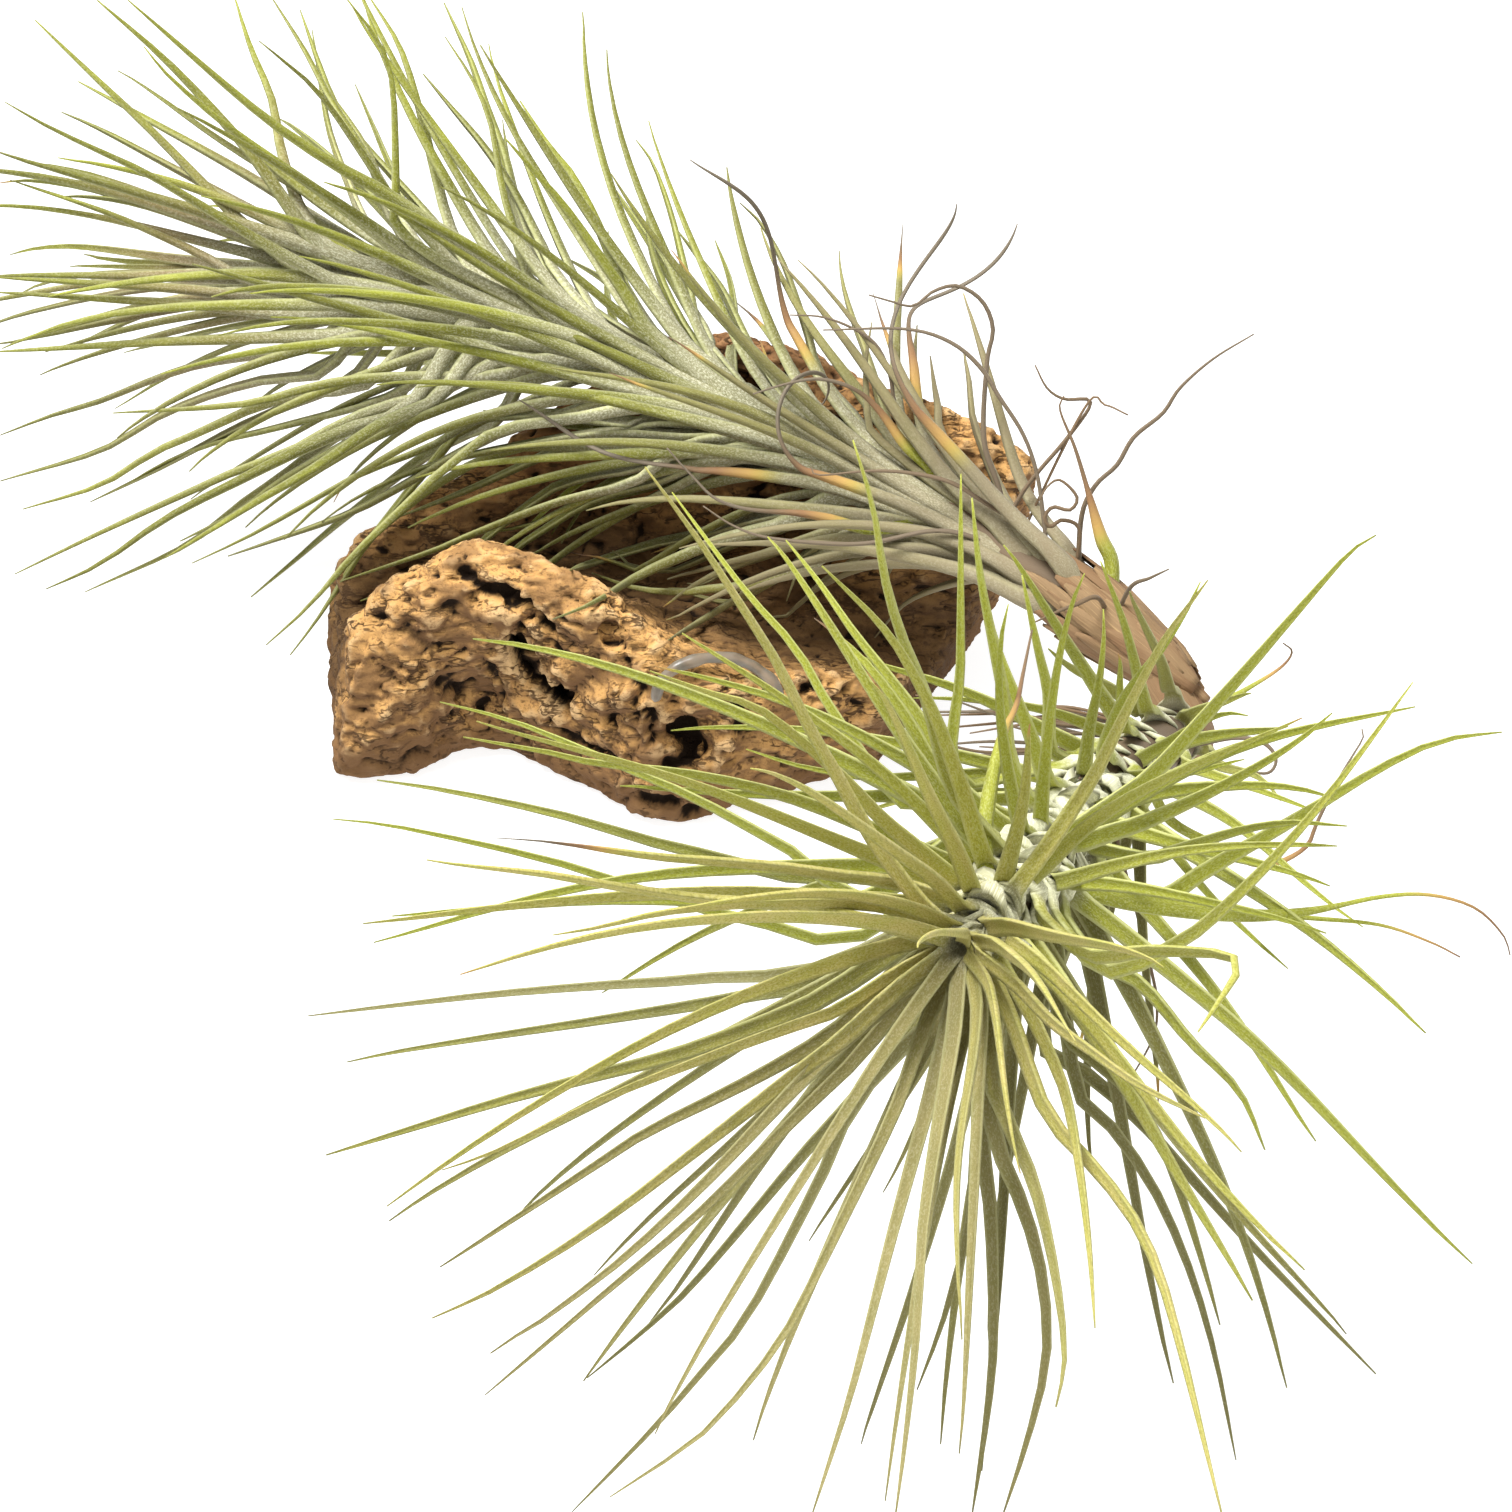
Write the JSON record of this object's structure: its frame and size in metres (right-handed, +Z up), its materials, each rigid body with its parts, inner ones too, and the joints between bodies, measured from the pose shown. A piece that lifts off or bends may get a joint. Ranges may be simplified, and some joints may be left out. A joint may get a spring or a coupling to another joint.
{
  "type": "tillandsia funckiana on driftwood",
  "caption": "Air plant with leafy stems on a common dry base, lying in the hollow of a small piece of curled driftwood and rising towards the front.",
  "frame": {"origin": "on the flat spot under the driftwood, below the middle of the wood", "axes": "+Z up from the surface the driftwood stands on, +X to the right along the driftwood, +Y to the back, where the long stem's tip points; the short stem rises towards -Y"},
  "size_m": [0.14, 0.1906, 0.0961],
  "materials": {
    "driftwood": "matte",
    "leaf": "satin",
    "dry_stem": "matte",
    "clear_glue": "gloss"
  },
  "bodies": {
    "root": {"driftwood": "driftwood", "long_stem": "leaf", "short_stem": "leaf", "dry_base": "dry_stem", "glue_pad": "clear_glue", "glue_bead": "clear_glue"}
  },
  "joints": []
}
